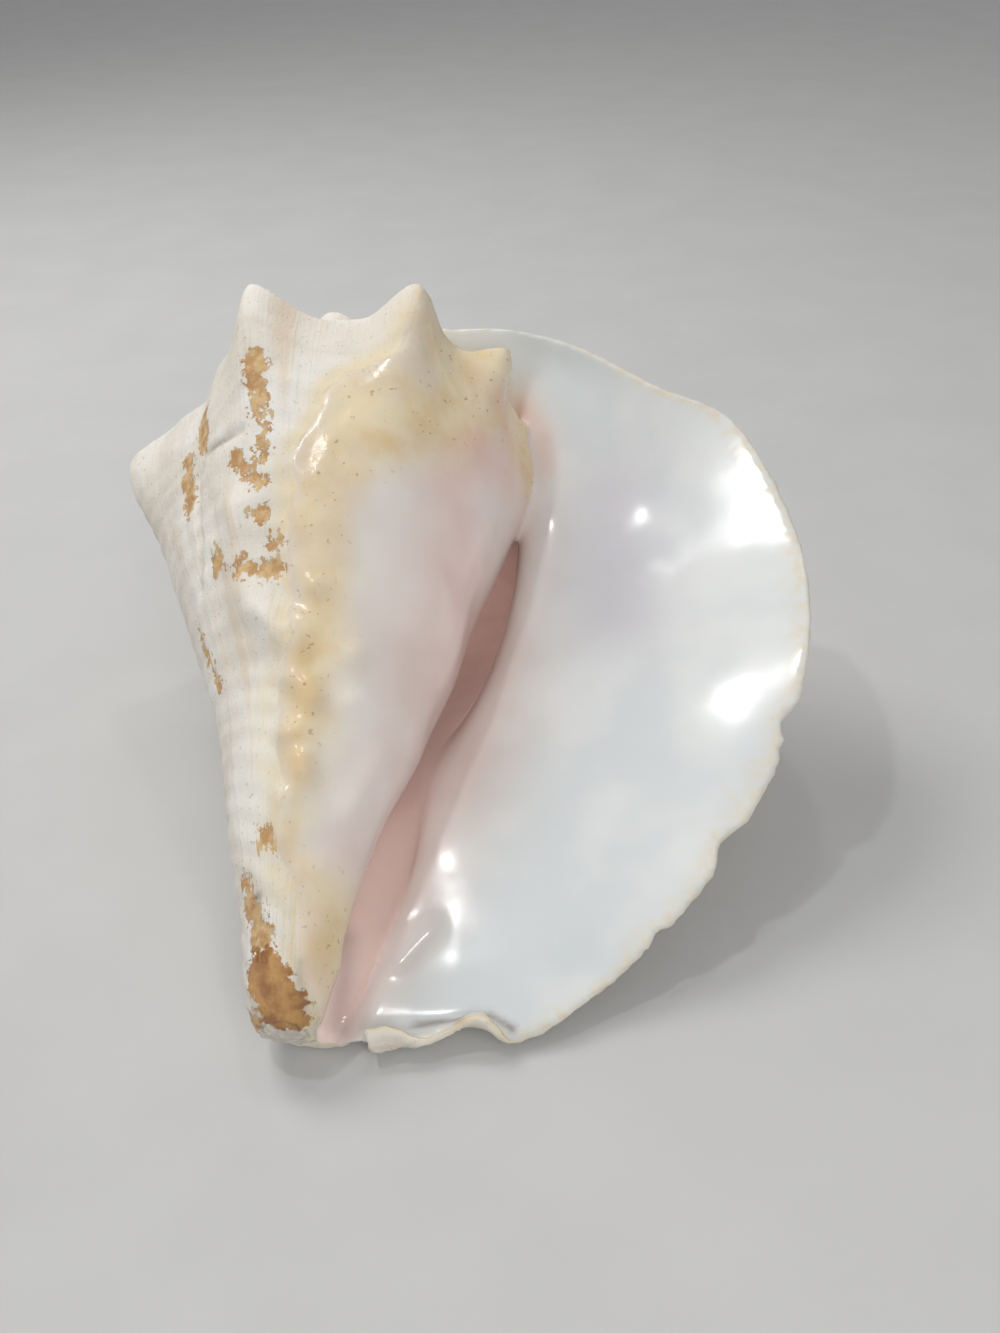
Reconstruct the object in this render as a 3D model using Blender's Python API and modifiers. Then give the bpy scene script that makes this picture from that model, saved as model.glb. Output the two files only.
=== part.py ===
# Conch shell: a large shell of the queen-conch kind, lying on its back with the
# aperture up.  One piece, grown as one solid.  Metres, +Z up.
#
# The shell is worked out in a frame of its own, in millimetres:
#   z  along the coiling axis, towards the apex; 0 is the shoulder at the lip's root
#   x  to the right, the side of the aperture
#   y  towards the back of the shell; -y is the aperture side
# and is then laid down on the surface that it rests on.
import bpy
import bmesh
import math
import numpy as np
from mathutils import Matrix, Vector

# ---------------------------------------------------------------- dimensions
WHORL_RATIO = 1.42        # growth from one whorl to the next
SHOULDER_R = 65.5         # radius of the shoulder where the lip begins to flare
SPIRE_RISE = 62.0         # apex above that shoulder
TIP_Z = -160.0            # anterior end of the canal
FLARE_DEG = 40.0          # angle round the axis where the lip begins to flare
CORE_DEG = 262.0          # growth behind the flare where the chamber closes
TURNS = 7.5               # whorls that are modelled
RAMP = 0.22               # share of the growing edge between suture and shoulder
WALL = 5.0                # wall of the body whorl
LIP_EDGE = 3.0            # thickness at the lip's edge
CANAL_BEND = 0.0022       # how fast the canal bends back
LEAN_DEG = 17.05          # coiling axis above the horizontal at rest
TURN_DEG = 4.0            # heading of the axis, to the right of +Y
ROLL_DEG = 0.0            # left knob side up
VOXEL = 0.0014            # cell of the mesh that joins wall and core
TRIS = 9400               # triangles of the finished solid

TWO_PI = 2 * math.pi
K = math.log(WHORL_RATIO) / TWO_PI
PHI0 = math.radians(FLARE_DEG)

# the growing edge's profile from the shoulder to the canal: share of the way
# down, and radius as a share of the shoulder's
PROFILE_T = [0, .05, .12, .20, .30, .42, .55, .70, .86, .97, 1.0]
PROFILE_R = [1.0, 1.0, .97, .905, .80, .645, .485, .39, .27, .20, .15]

# knobs of the shoulder: growth angle (deg), outward, towards the apex, width in
# degrees of growth, length down the whorl
KNOBS = [
    (17, 14, 6, 14, .15),
    (80, 17, 5, 14, .15),
    (144, 13, -1, 11, .11),
    (177, -5, -3, 12, .20),        # the hollow between two knobs
    (209, 12, 7, 9, .13),
    (250, 12, 6, 8.5, .12),
    (281, 8, 5, 8, .10),
]

# the swelling of the inner lip towards the aperture: height, added radius
SWELL = [(30, 0), (5, -2), (-20, -1), (-45, 0), (-68, 3), (-86, 3), (-110, 0), (-158, 0)]

# curves across the inside of the lip, from the spire round to the canal: share
# of the growing edge, x, -y (towards the aperture side), z
THROAT = [
    (0.00, 38, 6, 24),
    (0.06, 45, 12, 25),
    (0.12, 47, 12, 20),
    (0.17, 48, 7, 12),
    (0.22, 49, 1, 4),
    (0.28, 49, -4, -8),
    (0.35, 49, -7, -26),
    (0.45, 47, -9, -50),
    (0.55, 43, -10, -74),
    (0.65, 37, -11, -96),
    (0.73, 31, -12, -113),
    (0.80, 26, -14, -127),
    (0.87, 21, -15, -140),
    (0.93, 17, -16, -150),
    (1.00, 14, -15, -158),
]
MIDDLE = [
    (0.00, 30, 22, 30),
    (0.06, 50, 24, 33),
    (0.12, 62, 20, 27),
    (0.20, 74, 12, 12),
    (0.28, 82, 4, -6),
    (0.35, 85, 0, -25),
    (0.45, 85, -3, -56),
    (0.55, 80, -6, -82),
    (0.65, 68, -9, -106),
    (0.73, 56, -11, -125),
    (0.80, 47, -13, -139),
    (0.87, 37, -14, -150),
    (0.93, 27, -14, -155),
    (1.00, 16, -13, -158),
]
EDGE = [
    (0.00, 22, 32, 33),
    (0.06, 40, 30, 36),
    (0.12, 58, 27, 34),
    (0.20, 85, 22, 20),
    (0.27, 106, 18, 10),
    (0.35, 121, 12, -26),
    (0.45, 121, 9, -63),
    (0.55, 113, 0, -91),
    (0.65, 95, -6, -120),
    (0.73, 80, -11, -137),
    (0.80, 67, -13, -148),
    (0.86, 51, -14, -157),
    (0.90, 42, -10, -152),
    (0.95, 29, -11, -157),
    (0.98, 21, -11, -155),
    (1.00, 15, -11, -156),
]
# extra thickness outside the throat, where the lip turns away from the whorl
THROAT_FILL = [(0, 4), (.12, 7), (.25, 12), (.5, 12), (.75, 7), (.9, 4), (1, 3)]
STATIONS = [0, .42, .70, 1]


# ------------------------------------------------------------------- helpers
def smooth(a, b, x):
    t = np.clip((x - a) / (b - a), 0, 1)
    return t * t * (3 - 2 * t)


def along(xs, P, x):
    """Smooth curve through the rows of P at the stations xs."""
    xs = np.asarray(xs, float)
    P = np.asarray(P, float)
    flat = P.ndim == 1
    if flat:
        P = P[:, None]
    m = np.zeros_like(P)
    d = (P[1:] - P[:-1]) / (xs[1:] - xs[:-1])[:, None]
    h = (xs[1:] - xs[:-1])[:, None]
    m[1:-1] = (d[:-1] * h[1:] + d[1:] * h[:-1]) / (h[1:] + h[:-1])
    m[0], m[-1] = d[0], d[-1]
    if flat:                       # keep a profile from overshooting
        for i in range(1, len(xs) - 1):
            if d[i - 1, 0] * d[i, 0] <= 0:
                m[i] = 0
            else:
                lim = 3 * min(abs(d[i - 1, 0]), abs(d[i, 0]))
                m[i] = np.clip(m[i], -lim, lim)
    i = np.clip(np.searchsorted(xs, x, side='right') - 1, 0, len(xs) - 2)
    h = (xs[1:] - xs[:-1])[i]
    t = np.clip((x - xs[i]) / h, 0, 1)[..., None]
    h = h[..., None]
    r = ((2 * t**3 - 3 * t**2 + 1) * P[i] + (t**3 - 2 * t**2 + t) * h * m[i]
         + (3 * t**2 - 2 * t**3) * P[i + 1] + (t**3 - t**2) * h * m[i + 1])
    return r[..., 0] if flat else r


def body_radius(th, z):
    """Radius of the whorl's side at growth angle th (back from the flare), height z."""
    g = np.exp(-K * th)
    zs = SPIRE_RISE * (1 - g)
    tau = np.clip((zs - z) / (zs - TIP_Z), 0, 1)
    p = along(PROFILE_T, PROFILE_R, tau)
    p = p * (1 - smooth(.5, 1, tau) * (1 - np.exp(-.05 * th)))
    return SHOULDER_R * g * p


def shoulder(th):
    g = np.exp(-K * th)
    return SHOULDER_R * g, SPIRE_RISE * (1 - g)


def suture(th):
    z1 = shoulder(th)[1]
    z2 = shoulder(th + TWO_PI)[1]
    z = z2 - .28 * (z2 - z1)
    return body_radius(th + TWO_PI, z) - 1.5, z


def knobs(th, s):
    """Outward and apexward push of the shoulder knobs."""
    dr = np.zeros(np.broadcast(th, s).shape)
    dz = np.zeros_like(dr)
    ring = list(KNOBS)
    for i in range(34):            # the older ones, on the spire
        a = 281 + 43 * (i + 1)
        q = math.exp(-K * math.radians(a - 202))
        ring.append((a, 8 * q, 5 * q, 12, .13))
    deg = np.degrees(th)
    for a, out, up, w, ln in ring:
        if a > 360 * TURNS:
            break
        u = (deg - a) / w
        b = (s - RAMP) / np.where(s < RAMP, ln * .75, ln)
        d2 = u * u + b * b
        e = np.exp(-1.15 * np.power(d2 + .02, .85))
        dr += out * e
        dz += up * e
    return dr, dz


def whorl(th, s):
    """The outer face of the shell at growth angle th and share s of the growing edge."""
    rs, zs = shoulder(th)
    ru, zu = suture(th)
    a = np.clip(s / RAMP, 0, 1)
    b = np.clip((s - RAMP) / (1 - RAMP), 0, 1)
    zb = zs + (TIP_Z - zs) * b
    r = np.where(s < RAMP, ru + (rs - ru) * a, body_radius(th, zb))
    z = np.where(s < RAMP, zu + (zs - zu) * a**1.15, zb)
    dr, dz = knobs(th, s)
    fade = smooth(0, .04, s)
    r = r + dr * fade
    z = z + dz * fade
    # room for the canal beside the lip's root
    r = r + 8 * smooth(.58, .84, s) * (1 - .45 * smooth(.88, 1, s)) * (1 - smooth(-.2, 1.1, th))
    # the inner lip's swelling, on the side that faces the aperture
    W2 = np.array(SWELL, float)
    deg = np.degrees(th)
    r = r + along(-W2[:, 0], W2[:, 1], -z) * smooth(235, 290, deg) * (1 - smooth(350, 400, deg))
    ph = PHI0 + th
    P = np.stack([r * np.cos(ph), r * np.sin(ph), z], -1)
    return P


def bend(P):
    """The canal bends towards the back."""
    P = P.copy()
    d = np.clip(-105 - P[..., 2], 0, None)
    P[..., 1] += CANAL_BEND * d**2
    return P


def curve(rows, s):
    L = np.array(rows, float)
    return along(L[:, 0], np.stack([L[:, 1], -L[:, 2], L[:, 3]], -1), s)


def normals(P):
    """Unit normals of a grid of points, away from the axis."""
    du = np.gradient(P, axis=0)
    dv = np.gradient(P, axis=1)
    n = np.cross(du, dv)
    return n / (np.linalg.norm(n, axis=-1, keepdims=True) + 1e-9)


def across(rows, T0, n_w):
    """Smooth surface across the lip through its four curves."""
    k = STATIONS
    d = [(rows[i + 1] - rows[i]) / (k[i + 1] - k[i]) for i in range(3)]
    m = [T0 * np.linalg.norm(d[0], axis=-1, keepdims=True)]
    for i in (1, 2):
        h0, h1 = k[i] - k[i - 1], k[i + 1] - k[i]
        m.append((d[i - 1] * h1 + d[i] * h0) / (h0 + h1))
    m.append(d[2] * 1.5 - m[2] * .5)
    out = []
    for w in np.linspace(0, 1, n_w):
        i = min(int(np.searchsorted(k, w, side='right')) - 1, 2)
        h = k[i + 1] - k[i]
        t = (w - k[i]) / h
        out.append((2 * t**3 - 3 * t**2 + 1) * rows[i] + (t**3 - 2 * t**2 + t) * h * m[i]
                   + (3 * t**2 - 2 * t**3) * rows[i + 1] + (t**3 - t**2) * h * m[i + 1])
    return np.stack(out)


def lip(n_w, s):
    """The flared lip's inside and outside, from its root to its edge, as grids."""
    dt = .02
    G = np.stack([bend(whorl(np.full_like(s, k * dt), s)) for k in (2, 1, 0)])
    n = normals(G)[1]
    T0 = (G[2] - G[1])
    T0 /= np.linalg.norm(T0, axis=-1, keepdims=True)
    rows = [G[2] - n * WALL, curve(THROAT, s), curve(MIDDLE, s), curve(EDGE, s)]
    inside = across(rows, T0, n_w)
    ni = normals(inside)
    km = int(round(STATIONS[2] * (n_w - 1)))
    fill = np.array(THROAT_FILL, float)
    fill = along(fill[:, 0], fill[:, 1], s)[:, None]
    away = np.array([.75, .66, 0])
    out = [G[2], rows[1] + away * fill, rows[2] + ni[km] * (WALL * .5 + LIP_EDGE * .5),
           rows[3] + ni[-1] * LIP_EDGE]
    return inside, across(out, T0, n_w)


# -------------------------------------------------------------------- meshes
def growing_edge(n):
    a = np.linspace(0, 1, n)
    return a


def wall_sheets(n_th=170, n_lip=48, n_s=130):
    """Outer and inner faces of the last whorl and the lip, as two grids of points."""
    s = growing_edge(n_s)
    th = np.linspace(math.radians(CORE_DEG + 12), 0, n_th)
    T, S = np.meshgrid(th, s, indexing='ij')
    body = bend(whorl(T, S))
    thick = WALL + 9 * smooth(.80, 1, S) * smooth(0, math.radians(35), T)
    within = body - normals(body) * thick[..., None]
    inside, outside = lip(n_lip, s)
    return np.concatenate([body, outside[1:]]), np.concatenate([within, inside[1:]])


def closed_loft(name, A, B):
    """Solid between two grids of the same size."""
    n, m = A.shape[:2]
    ia = np.arange(n * m).reshape(n, m)
    ib = ia + n * m

    def quads(i):
        return np.stack([i[:-1, :-1], i[1:, :-1], i[1:, 1:], i[:-1, 1:]], -1).reshape(-1, 4)
    faces = quads(ia).tolist() + quads(ib)[:, ::-1].tolist()
    loop = [(ia[:, 0], ib[:, 0]), (ia[-1, :], ib[-1, :]),
            (ia[::-1, -1], ib[::-1, -1]), (ia[0, ::-1], ib[0, ::-1])]
    for a, b in loop:
        faces += np.stack([a[:-1], b[:-1], b[1:], a[1:]], -1).tolist()
    me = bpy.data.meshes.new(name)
    P = np.concatenate([A.reshape(-1, 3), B.reshape(-1, 3)])
    me.from_pydata((P * .001).tolist(), [], faces)
    me.update()
    return me


def grid_loft(name, P):
    """Solid through closed sections, each a row of the grid, capped at both ends."""
    n, m = P.shape[:2]
    me = bpy.data.meshes.new(name)
    idx = np.arange(n * m).reshape(n, m)
    nxt = np.roll(idx, -1, axis=1)
    faces = np.stack([idx[:-1], idx[1:], nxt[1:], nxt[:-1]], -1).reshape(-1, 4).tolist()
    faces.append(idx[0].tolist())
    faces.append(idx[-1][::-1].tolist())
    me.from_pydata((P.reshape(-1, 3) * .001).tolist(), [], faces)
    me.update()
    return me


def core_loops(n_s=110):
    """The older whorls as a solid coil: sections from the axis out to the wall."""
    th = np.concatenate([np.linspace(math.radians(CORE_DEG), math.radians(CORE_DEG) + TWO_PI, 110),
                         np.linspace(math.radians(CORE_DEG) + TWO_PI, TWO_PI * TURNS, 190)[1:]])
    s = growing_edge(n_s)
    T, S = np.meshgrid(th, s, indexing='ij')
    P = bend(whorl(T, S))
    # close each section just past the axis
    ph = PHI0 + th
    r = -1.0
    zt, zb = P[:, 0, 2], P[:, -1, 2]
    inner = []
    for k in range(12):
        t = k / 11
        z = zb + (zt - zb) * t
        q = np.stack([r * np.cos(ph), r * np.sin(ph), z], -1)
        inner.append(bend(q))
    inner = np.stack(inner, 1)
    return np.concatenate([P, inner], 1)


def frame_matrix():
    """Shell frame to the resting frame: lean, heading and roll."""
    ps, ya, ro = (math.radians(v) for v in (LEAN_DEG, TURN_DEG, ROLL_DEG))
    a = np.array([math.sin(ya) * math.cos(ps), math.cos(ya) * math.cos(ps), math.sin(ps)])
    x = np.array([math.cos(ya), -math.sin(ya), 0.])
    v = np.cross(x, a)
    x2 = x * math.cos(ro) + v * math.sin(ro)
    v2 = -x * math.sin(ro) + v * math.cos(ro)
    return np.stack([x2, -v2, a], 1)


def material():
    m = bpy.data.materials.new("shell")
    m.use_nodes = True
    b = m.node_tree.nodes["Principled BSDF"]
    b.inputs["Base Color"].default_value = (.78, .74, .68, 1)
    b.inputs["Roughness"].default_value = .35
    b.inputs["Metallic"].default_value = 0
    return m


def main():
    for ob in list(bpy.data.objects):
        bpy.data.objects.remove(ob, do_unlink=True)
    coll = bpy.data.collections.new("Conch_Shell")
    bpy.context.scene.collection.children.link(coll)
    guides = bpy.data.collections.new("Guides")
    bpy.context.scene.collection.children.link(guides)

    wall = bpy.data.objects.new("guide_wall", closed_loft("guide_wall", *wall_sheets()))
    guides.objects.link(wall)
    core = bpy.data.objects.new("guide_core", grid_loft("guide_core", core_loops()))
    guides.objects.link(core)
    for g in (wall, core):
        g.hide_render = True
        g.display_type = 'WIRE'

    bm = bmesh.new()
    bm.from_mesh(wall.data)
    bm.from_mesh(core.data)
    me = bpy.data.meshes.new("conch_shell")
    bm.to_mesh(me)
    bm.free()

    shell = bpy.data.objects.new("conch_shell", me)
    coll.objects.link(shell)
    shell.data.materials.append(material())
    rm = shell.modifiers.new("one_body", 'REMESH')
    rm.mode = 'VOXEL'
    rm.voxel_size = VOXEL
    rm.use_smooth_shade = True
    sm = shell.modifiers.new("round_edges", 'SMOOTH')
    sm.factor = .5
    sm.iterations = 2
    bpy.context.view_layer.update()
    fine = shell.evaluated_get(bpy.context.evaluated_depsgraph_get()).to_mesh()
    fine.calc_loop_triangles()
    de = shell.modifiers.new("fewer_faces", 'DECIMATE')
    de.ratio = TRIS / len(fine.loop_triangles)
    shell.evaluated_get(bpy.context.evaluated_depsgraph_get()).to_mesh_clear()

    # lay it down: lean, heading and roll, then the middle of its base to the origin
    M = frame_matrix()
    turn = Matrix([list(M[i]) + [0] for i in range(3)] + [[0, 0, 0, 1]])
    shell.matrix_world = turn
    bpy.context.view_layer.update()
    me = shell.evaluated_get(bpy.context.evaluated_depsgraph_get()).to_mesh()
    co = np.array([turn @ v.co for v in me.vertices])
    lo, hi = co.min(0), co.max(0)
    shell.matrix_world = Matrix.Translation(
        (-(lo[0] + hi[0]) / 2, -(lo[1] + hi[1]) / 2, -lo[2])) @ turn
    bpy.context.view_layer.update()
    return shell


shell = main()
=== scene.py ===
# Conch shell: the looks of the one-piece shell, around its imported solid.
# The shell's surface is worked out in the shell's own frame, in millimetres:
#   z  along the coiling axis, towards the apex; 0 is the shoulder at the lip's root
#   x  to the right, the side of the aperture
#   y  towards the back of the shell; -y is the aperture side
import bpy
import math
import numpy as np
from mathutils import Matrix, Vector
from mathutils.bvhtree import BVHTree


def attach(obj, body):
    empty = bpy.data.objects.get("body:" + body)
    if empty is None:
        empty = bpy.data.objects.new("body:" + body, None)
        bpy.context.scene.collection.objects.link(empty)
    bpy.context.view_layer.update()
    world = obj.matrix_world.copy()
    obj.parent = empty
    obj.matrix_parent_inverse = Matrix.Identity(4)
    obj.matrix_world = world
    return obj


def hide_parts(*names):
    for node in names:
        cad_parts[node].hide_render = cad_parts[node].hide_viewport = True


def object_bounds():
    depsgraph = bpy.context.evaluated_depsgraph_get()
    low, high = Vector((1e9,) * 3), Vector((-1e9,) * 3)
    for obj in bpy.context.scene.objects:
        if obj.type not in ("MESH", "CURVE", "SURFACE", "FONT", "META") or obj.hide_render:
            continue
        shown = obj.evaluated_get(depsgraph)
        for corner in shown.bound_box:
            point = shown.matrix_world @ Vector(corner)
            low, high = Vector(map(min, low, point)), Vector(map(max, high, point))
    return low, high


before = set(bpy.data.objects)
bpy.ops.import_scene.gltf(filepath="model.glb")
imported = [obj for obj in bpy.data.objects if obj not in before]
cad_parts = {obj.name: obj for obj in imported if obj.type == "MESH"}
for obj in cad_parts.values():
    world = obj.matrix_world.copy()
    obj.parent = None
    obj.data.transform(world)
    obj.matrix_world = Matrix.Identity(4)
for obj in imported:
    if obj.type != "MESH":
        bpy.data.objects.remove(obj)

CAD_BOX = [list(p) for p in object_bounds()]

# ---------------------------------------------------------------- dimensions
WHORL_RATIO = 1.42        # growth from one whorl to the next
SHOULDER_R = 65.5         # radius of the shoulder where the lip begins to flare
SPIRE_RISE = 62.0         # apex above that shoulder
TIP_Z = -160.0            # anterior end of the canal
FLARE_DEG = 40.0          # angle round the axis where the lip begins to flare
CORE_DEG = 262.0          # growth behind the flare where the chamber closes
TURNS = 7.5               # whorls that are modelled
RAMP = 0.22               # share of the growing edge between suture and shoulder
WALL = 5.0                # wall of the body whorl
LIP_EDGE = 3.0            # thickness at the lip's edge
CANAL_BEND = 0.0022       # how fast the canal bends back
LEAN_DEG = 17.05          # coiling axis above the horizontal at rest
TURN_DEG = 4.0            # heading of the axis, to the right of +Y
ROLL_DEG = 0.0            # left knob side up
SEAT = (-26.07, 48.09, 63.79)   # where the shell's own origin lies at rest
VOXEL = 0.001             # cell of the mesh that joins wall and core
TRIS = 190000             # triangles of the finished surface

TWO_PI = 2 * math.pi
K = math.log(WHORL_RATIO) / TWO_PI
PHI0 = math.radians(FLARE_DEG)

PROFILE_T = [0, .05, .12, .20, .30, .42, .55, .70, .86, .97, 1.0]
PROFILE_R = [1.0, 1.0, .97, .905, .80, .645, .485, .39, .27, .20, .15]

KNOBS = [
    (17, 14, 6, 14, .15),
    (80, 17, 5, 14, .15),
    (144, 13, -1, 11, .11),
    (177, -5, -3, 12, .20),
    (209, 12, 7, 9, .13),
    (250, 12, 6, 8.5, .12),
    (281, 8, 5, 8, .10),
]
SWELL = [(30, 0), (5, -2), (-20, -1), (-45, 0), (-68, 3), (-86, 3), (-110, 0), (-158, 0)]
THROAT = [
    (0.00, 38, 6, 24),
    (0.06, 45, 12, 25),
    (0.12, 47, 12, 20),
    (0.17, 48, 7, 12),
    (0.22, 49, 1, 4),
    (0.28, 49, -4, -8),
    (0.35, 49, -7, -26),
    (0.45, 47, -9, -50),
    (0.55, 43, -10, -74),
    (0.65, 37, -11, -96),
    (0.73, 31, -12, -113),
    (0.80, 26, -14, -127),
    (0.87, 21, -15, -140),
    (0.93, 17, -16, -150),
    (1.00, 14, -15, -158),
]
MIDDLE = [
    (0.00, 30, 22, 30),
    (0.06, 50, 24, 33),
    (0.12, 62, 20, 27),
    (0.20, 74, 12, 12),
    (0.28, 82, 4, -6),
    (0.35, 85, 0, -25),
    (0.45, 85, -3, -56),
    (0.55, 80, -6, -82),
    (0.65, 68, -9, -106),
    (0.73, 56, -11, -125),
    (0.80, 47, -13, -139),
    (0.87, 37, -14, -150),
    (0.93, 27, -14, -155),
    (1.00, 16, -13, -158),
]
EDGE = [
    (0.00, 22, 32, 33),
    (0.06, 40, 30, 36),
    (0.12, 58, 27, 34),
    (0.20, 85, 22, 20),
    (0.27, 106, 18, 10),
    (0.35, 121, 12, -26),
    (0.45, 121, 9, -63),
    (0.55, 113, 0, -91),
    (0.65, 95, -6, -120),
    (0.73, 80, -11, -137),
    (0.80, 67, -13, -148),
    (0.86, 51, -14, -157),
    (0.90, 42, -10, -152),
    (0.95, 29, -11, -157),
    (0.98, 21, -11, -155),
    (1.00, 15, -11, -156),
]
THROAT_FILL = [(0, 4), (.12, 7), (.25, 12), (.5, 12), (.75, 7), (.9, 4), (1, 3)]
STATIONS = [0, .42, .70, 1]
# places along the lip's edge where it has broken back: share, depth mm, half width
BITES = [(.518, 2.8, .013), (.541, 1.2, .005), (.622, 2.6, .014), (.712, 1.5, .008)]

# the view: its eye stands on the aperture side, towards the canal
VIEW_TILT, VIEW_YAW, VIEW_FAR, FOCAL = 53, 4, 377, 1296


# ------------------------------------------------------------------- helpers
def smooth(a, b, x):
    t = np.clip((x - a) / (b - a), 0, 1)
    return t * t * (3 - 2 * t)


def along(xs, P, x):
    """Smooth curve through the rows of P at the stations xs."""
    xs = np.asarray(xs, float)
    P = np.asarray(P, float)
    flat = P.ndim == 1
    if flat:
        P = P[:, None]
    m = np.zeros_like(P)
    d = (P[1:] - P[:-1]) / (xs[1:] - xs[:-1])[:, None]
    h = (xs[1:] - xs[:-1])[:, None]
    m[1:-1] = (d[:-1] * h[1:] + d[1:] * h[:-1]) / (h[1:] + h[:-1])
    m[0], m[-1] = d[0], d[-1]
    if flat:                       # keep a profile from overshooting
        for i in range(1, len(xs) - 1):
            if d[i - 1, 0] * d[i, 0] <= 0:
                m[i] = 0
            else:
                lim = 3 * min(abs(d[i - 1, 0]), abs(d[i, 0]))
                m[i] = np.clip(m[i], -lim, lim)
    i = np.clip(np.searchsorted(xs, x, side='right') - 1, 0, len(xs) - 2)
    h = (xs[1:] - xs[:-1])[i]
    t = np.clip((x - xs[i]) / h, 0, 1)[..., None]
    h = h[..., None]
    r = ((2 * t**3 - 3 * t**2 + 1) * P[i] + (t**3 - 2 * t**2 + t) * h * m[i]
         + (3 * t**2 - 2 * t**3) * P[i + 1] + (t**3 - t**2) * h * m[i + 1])
    return r[..., 0] if flat else r


def noise(P, size, seed=0):
    """Smooth noise from -1 to 1 with lumps of the given size in mm."""
    q = np.asarray(P, float) / size + 1000.5
    i = np.floor(q).astype(np.int64)
    f = q - i
    f = f * f * (3 - 2 * f)
    out = np.zeros(len(q))
    for c in range(8):
        o = np.array([c & 1, (c >> 1) & 1, c >> 2])
        k = i + o
        h = k[:, 0] * 73856093 ^ k[:, 1] * 19349663 ^ k[:, 2] * 83492791 ^ (seed + 1) * 265443
        h = (h ^ (h >> 13)) * 1274126177
        h = (h ^ (h >> 16)) & 65535
        out += np.prod(np.where(o == 1, f, 1 - f), axis=1) * (h / 32767.5 - 1)
    return out


def wobble(x, seed=0):
    """The same along a line."""
    x = np.asarray(x, float)
    z = np.zeros_like(x)
    return noise(np.stack([x, z + 7 * seed, z], -1), 1, seed)


# ------------------------------------------------------------ the shell's form
def body_radius(th, z):
    """Radius of the whorl's side at growth angle th (back from the flare), height z."""
    g = np.exp(-K * th)
    zs = SPIRE_RISE * (1 - g)
    tau = np.clip((zs - z) / (zs - TIP_Z), 0, 1)
    p = along(PROFILE_T, PROFILE_R, tau)
    p = p * (1 - smooth(.5, 1, tau) * (1 - np.exp(-.05 * th)))
    return SHOULDER_R * g * p


def shoulder(th):
    g = np.exp(-K * th)
    return SHOULDER_R * g, SPIRE_RISE * (1 - g)


def suture(th):
    z1 = shoulder(th)[1]
    z2 = shoulder(th + TWO_PI)[1]
    z = z2 - .28 * (z2 - z1)
    return body_radius(th + TWO_PI, z) - 1.5, z


def knobs(th, s):
    """Outward and apexward push of the shoulder knobs."""
    dr = np.zeros(np.broadcast(th, s).shape)
    dz = np.zeros_like(dr)
    ring = list(KNOBS)
    for i in range(34):            # the older ones, on the spire
        a = 281 + 43 * (i + 1)
        q = math.exp(-K * math.radians(a - 202))
        ring.append((a, 8 * q, 5 * q, 12, .13))
    deg = np.degrees(th)
    for a, out, up, w, ln in ring:
        if a > 360 * TURNS:
            break
        u = (deg - a) / w
        b = (s - RAMP) / np.where(s < RAMP, ln * .75, ln)
        d2 = u * u + b * b
        e = np.exp(-1.15 * np.power(d2 + .02, .85))
        dr += out * e
        dz += up * e
    return dr, dz


def whorl(th, s):
    """The outer face of the shell at growth angle th and share s of the growing edge."""
    rs, zs = shoulder(th)
    ru, zu = suture(th)
    a = np.clip(s / RAMP, 0, 1)
    b = np.clip((s - RAMP) / (1 - RAMP), 0, 1)
    zb = zs + (TIP_Z - zs) * b
    r = np.where(s < RAMP, ru + (rs - ru) * a, body_radius(th, zb))
    z = np.where(s < RAMP, zu + (zs - zu) * a**1.15, zb)
    dr, dz = knobs(th, s)
    fade = smooth(0, .04, s)
    r = r + dr * fade
    z = z + dz * fade
    # room for the canal beside the lip's root
    r = r + 8 * smooth(.58, .84, s) * (1 - .45 * smooth(.88, 1, s)) * (1 - smooth(-.2, 1.1, th))
    # the inner lip's swelling, on the side that faces the aperture
    W2 = np.array(SWELL, float)
    deg = np.degrees(th)
    r = r + along(-W2[:, 0], W2[:, 1], -z) * smooth(235, 290, deg) * (1 - smooth(350, 400, deg))
    ph = PHI0 + th
    return np.stack([r * np.cos(ph), r * np.sin(ph), z], -1)


def bend(P):
    """The canal bends towards the back."""
    P = P.copy()
    d = np.clip(-105 - P[..., 2], 0, None)
    P[..., 1] += CANAL_BEND * d**2
    return P


def curve(rows, s):
    L = np.array(rows, float)
    return along(L[:, 0], np.stack([L[:, 1], -L[:, 2], L[:, 3]], -1), s)


def normals(P):
    """Unit normals of a grid of points, away from the axis."""
    du = np.gradient(P, axis=0)
    dv = np.gradient(P, axis=1)
    n = np.cross(du, dv)
    return n / (np.linalg.norm(n, axis=-1, keepdims=True) + 1e-9)


def across(rows, T0, n_w):
    """Smooth surface across the lip through its four curves."""
    k = STATIONS
    d = [(rows[i + 1] - rows[i]) / (k[i + 1] - k[i]) for i in range(3)]
    m = [T0 * np.linalg.norm(d[0], axis=-1, keepdims=True)]
    for i in (1, 2):
        h0, h1 = k[i] - k[i - 1], k[i + 1] - k[i]
        m.append((d[i - 1] * h1 + d[i] * h0) / (h0 + h1))
    m.append(d[2] * 1.5 - m[2] * .5)
    out = []
    for w in np.linspace(0, 1, n_w):
        i = min(int(np.searchsorted(k, w, side='right')) - 1, 2)
        h = k[i + 1] - k[i]
        t = (w - k[i]) / h
        out.append((2 * t**3 - 3 * t**2 + 1) * rows[i] + (t**3 - 2 * t**2 + t) * h * m[i]
                   + (3 * t**2 - 2 * t**3) * rows[i + 1] + (t**3 - t**2) * h * m[i + 1])
    return np.stack(out)


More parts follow.
